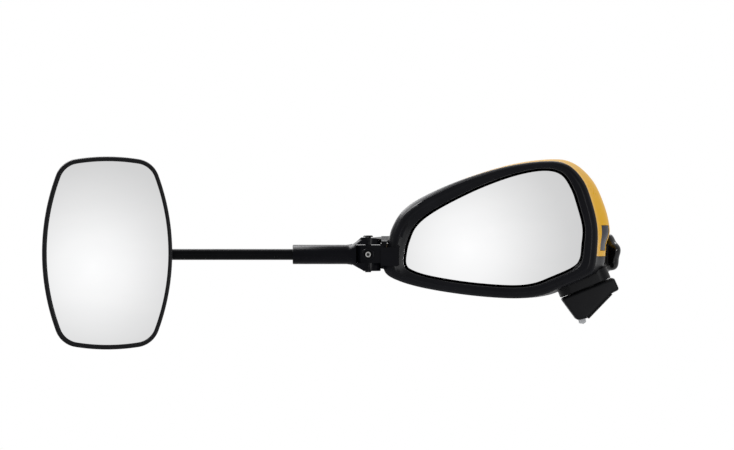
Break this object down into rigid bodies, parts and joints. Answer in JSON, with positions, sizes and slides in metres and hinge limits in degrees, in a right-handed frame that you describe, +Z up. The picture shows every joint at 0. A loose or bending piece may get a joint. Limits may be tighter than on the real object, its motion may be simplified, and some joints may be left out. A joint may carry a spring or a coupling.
{
  "type": "towing mirror",
  "caption": "Car wing mirror with a clamp-on towing extension: a barrel-shaped convex head on a sliding rod, hinged to a band round the yellow and black housing.",
  "frame": {"origin": "middle of the foot's face that bolts to the door, on the outside of its gasket", "axes": "+X towards the vehicle, -Y the way both glasses face, +Z up"},
  "size_m": [0.5806, 0.1374, 0.1926],
  "materials": {
    "yellow_paint": "glossy painted",
    "black_plastic": "satin, finely grained",
    "gloss_black": "glossy",
    "black_steel": "black coated, half gloss",
    "mirror_glass": "convex mirror",
    "rubber": "matt",
    "bare_steel": "zinc plated",
    "die_cast": "as cast",
    "grey_plastic": "satin",
    "white_nylon": "satin",
    "smoked_lens": "glossy, dark",
    "brass": "turned"
  },
  "bodies": {
    "foot": {"foot": "black_plastic", "foot_gasket": "rubber", "foot_connector": "white_nylon", "bolt_insert_1": "brass", "bolt_insert_2": "brass", "bolt_insert_3": "brass", "pivot_tube": "bare_steel", "spring_washer": "bare_steel", "spring_clip": "black_steel", "fold_spring": "bare_steel"},
    "housing": {"cap_shell": "yellow_paint", "lower_shell": "black_plastic", "bezel": "black_plastic", "lamp_lens": "smoked_lens", "carrier_frame": "die_cast", "detent_ring": "grey_plastic", "spring_seat": "bare_steel", "actuator_case": "black_plastic", "actuator_lid": "black_plastic", "motor_pan": "bare_steel", "motor_tilt": "bare_steel", "back_band": "black_steel", "band_pad_outboard": "rubber", "band_pad_inboard": "rubber", "band_nut": "black_steel", "band_rivet_1": "bare_steel", "band_rivet_2": "bare_steel", "outer_bracket": "black_plastic", "claw_pad": "rubber", "hinge_pin": "black_steel", "hinge_screw": "bare_steel"},
    "glass_cross": {"pivot_cross": "white_nylon"},
    "glass": {"main_glass": "mirror_glass", "glass_plate": "black_plastic"},
    "plunger_pan": {"plunger_pan": "white_nylon"},
    "plunger_tilt": {"plunger_tilt": "white_nylon"},
    "drive_nut_pan": {"drive_nut_pan": "white_nylon"},
    "drive_nut_tilt": {"drive_nut_tilt": "white_nylon"},
    "clamp_pad": {"pressure_pad": "black_plastic", "pad_rubber": "rubber"},
    "clamp_knob": {"clamp_knob": "gloss_black", "clamp_spindle": "bare_steel"},
    "arm": {"arm_sleeve": "black_plastic", "grub_screw": "bare_steel"},
    "collet": {"sleeve_collet": "grey_plastic"},
    "rod": {"rod": "black_steel", "arm_ball": "bare_steel"},
    "ball_liner": {"ball_liner": "white_nylon"},
    "head": {"head_glass": "mirror_glass", "head_backing": "grey_plastic", "head_rim": "black_plastic", "head_shell": "black_plastic", "socket_plate": "black_plastic", "socket_cap": "black_plastic", "cap_screw_1": "bare_steel", "cap_screw_2": "bare_steel", "socket_screw_1": "bare_steel", "socket_screw_2": "bare_steel", "socket_screw_3": "bare_steel"}
  },
  "joints": [
    {"name": "housing_fold", "type": "hinge", "parent": "foot", "child": "housing", "pos_m": [-0.016, 0, 0.016], "axis": [-0.3746, 0, 0.9272], "range_deg": [-40, 65]},
    {"name": "glass_pan", "type": "hinge", "parent": "housing", "child": "glass_cross", "pos_m": [-0.108, -0.022, 0.072], "axis": [0, 0, 1], "range_deg": [-8, 8]},
    {"name": "glass_tilt", "type": "hinge", "parent": "glass_cross", "child": "glass", "pos_m": [-0.108, -0.022, 0.072], "axis": [1, 0, 0], "range_deg": [-7, 7]},
    {"name": "plunger_pan_slide", "type": "slide", "parent": "housing", "child": "plunger_pan", "axis": [0, 1, 0], "range_m": [-0.0042, 0.0042]},
    {"name": "plunger_tilt_slide", "type": "slide", "parent": "housing", "child": "plunger_tilt", "axis": [0, 1, 0], "range_m": [-0.0042, 0.0042]},
    {"name": "drive_nut_pan_spin", "type": "hinge", "parent": "housing", "child": "drive_nut_pan", "pos_m": [-0.08, 0, 0.072], "axis": [0, 1, 0], "range_deg": [-720, 720]},
    {"name": "drive_nut_tilt_spin", "type": "hinge", "parent": "housing", "child": "drive_nut_tilt", "pos_m": [-0.108, 0, 0.044], "axis": [0, 1, 0], "range_deg": [-720, 720]},
    {"name": "clamp_travel", "type": "slide", "parent": "housing", "child": "clamp_pad", "axis": [0.7712, 0.6366, 0], "range_m": [0, 0.0046]},
    {"name": "clamp_knob_turn", "type": "hinge", "parent": "clamp_pad", "child": "clamp_knob", "pos_m": [-0.01488, 0.0337, 0.0495], "axis": [0.7712, 0.6366, 0], "range_deg": [0, 1290]},
    {"name": "arm_swing", "type": "hinge", "parent": "housing", "child": "arm", "pos_m": [-0.2365, -0.04, 0.049], "axis": [0, 0, 1], "range_deg": [-55, 18]},
    {"name": "rod_twist", "type": "hinge", "parent": "arm", "child": "collet", "pos_m": [-0.274, -0.04, 0.049], "axis": [1, 0, 0], "range_deg": [-90, 90]},
    {"name": "rod_slide", "type": "slide", "parent": "collet", "child": "rod", "axis": [-1, 0, 0], "range_m": [-0.01, 0.025]},
    {"name": "head_pan", "type": "hinge", "parent": "rod", "child": "ball_liner", "pos_m": [-0.497, -0.04, 0.049], "axis": [0, 0, 1], "range_deg": [-10, 10]},
    {"name": "head_tilt", "type": "hinge", "parent": "ball_liner", "child": "head", "pos_m": [-0.497, -0.04, 0.049], "axis": [1, 0, 0], "range_deg": [-15, 15]}
  ],
  "couplings": [
    {"joint": "plunger_pan_slide", "follows": "glass_pan", "m_per_rad": 0.028},
    {"joint": "plunger_tilt_slide", "follows": "glass_tilt", "m_per_rad": 0.028},
    {"joint": "drive_nut_pan_spin", "follows": "glass_pan", "ratio": 87.965},
    {"joint": "drive_nut_tilt_spin", "follows": "glass_tilt", "ratio": 87.965},
    {"joint": "clamp_travel", "follows": "clamp_knob_turn", "m_per_rad": 0.00019894}
  ]
}
